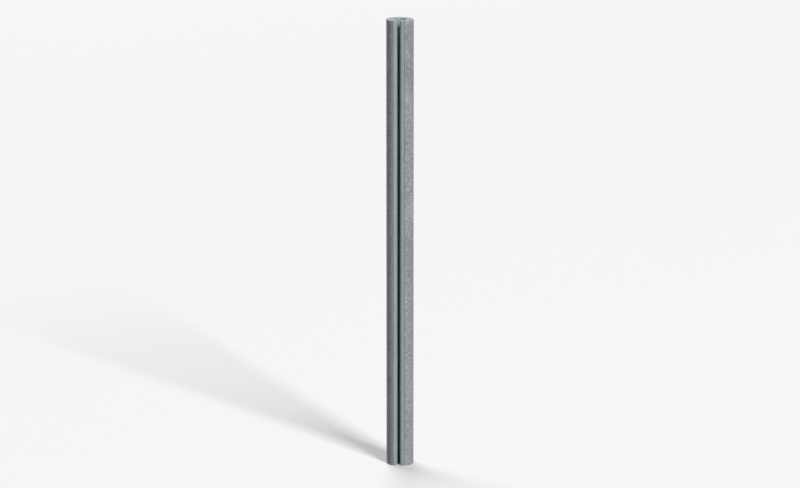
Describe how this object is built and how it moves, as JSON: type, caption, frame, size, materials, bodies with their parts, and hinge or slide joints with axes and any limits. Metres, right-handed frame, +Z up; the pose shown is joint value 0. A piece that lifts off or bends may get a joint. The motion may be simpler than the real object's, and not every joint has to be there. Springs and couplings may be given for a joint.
{
  "type": "bicycle spoke reflector",
  "caption": "Slim round clip-on reflector sleeve for a bicycle spoke: a split plastic tube with rounded lips along its slit, wrapped in grey retroreflective film.",
  "frame": {"origin": "on the spoke's middle line, at the sleeve's lower end, which is the surface that the sleeve stands on", "axes": "+Z up along the sleeve and the spoke, -Y out through the slit, and +X across the sleeve"},
  "size_m": [0.0044, 0.0042, 0.075],
  "materials": {
    "tube_plastic": "smooth extruded plastic, greenish grey, with a soft gloss",
    "reflective_film": "matte grey retroreflective film with a fine bead grain"
  },
  "bodies": {
    "root": {"clip_tube": "tube_plastic", "reflective_film": "reflective_film"}
  },
  "joints": []
}
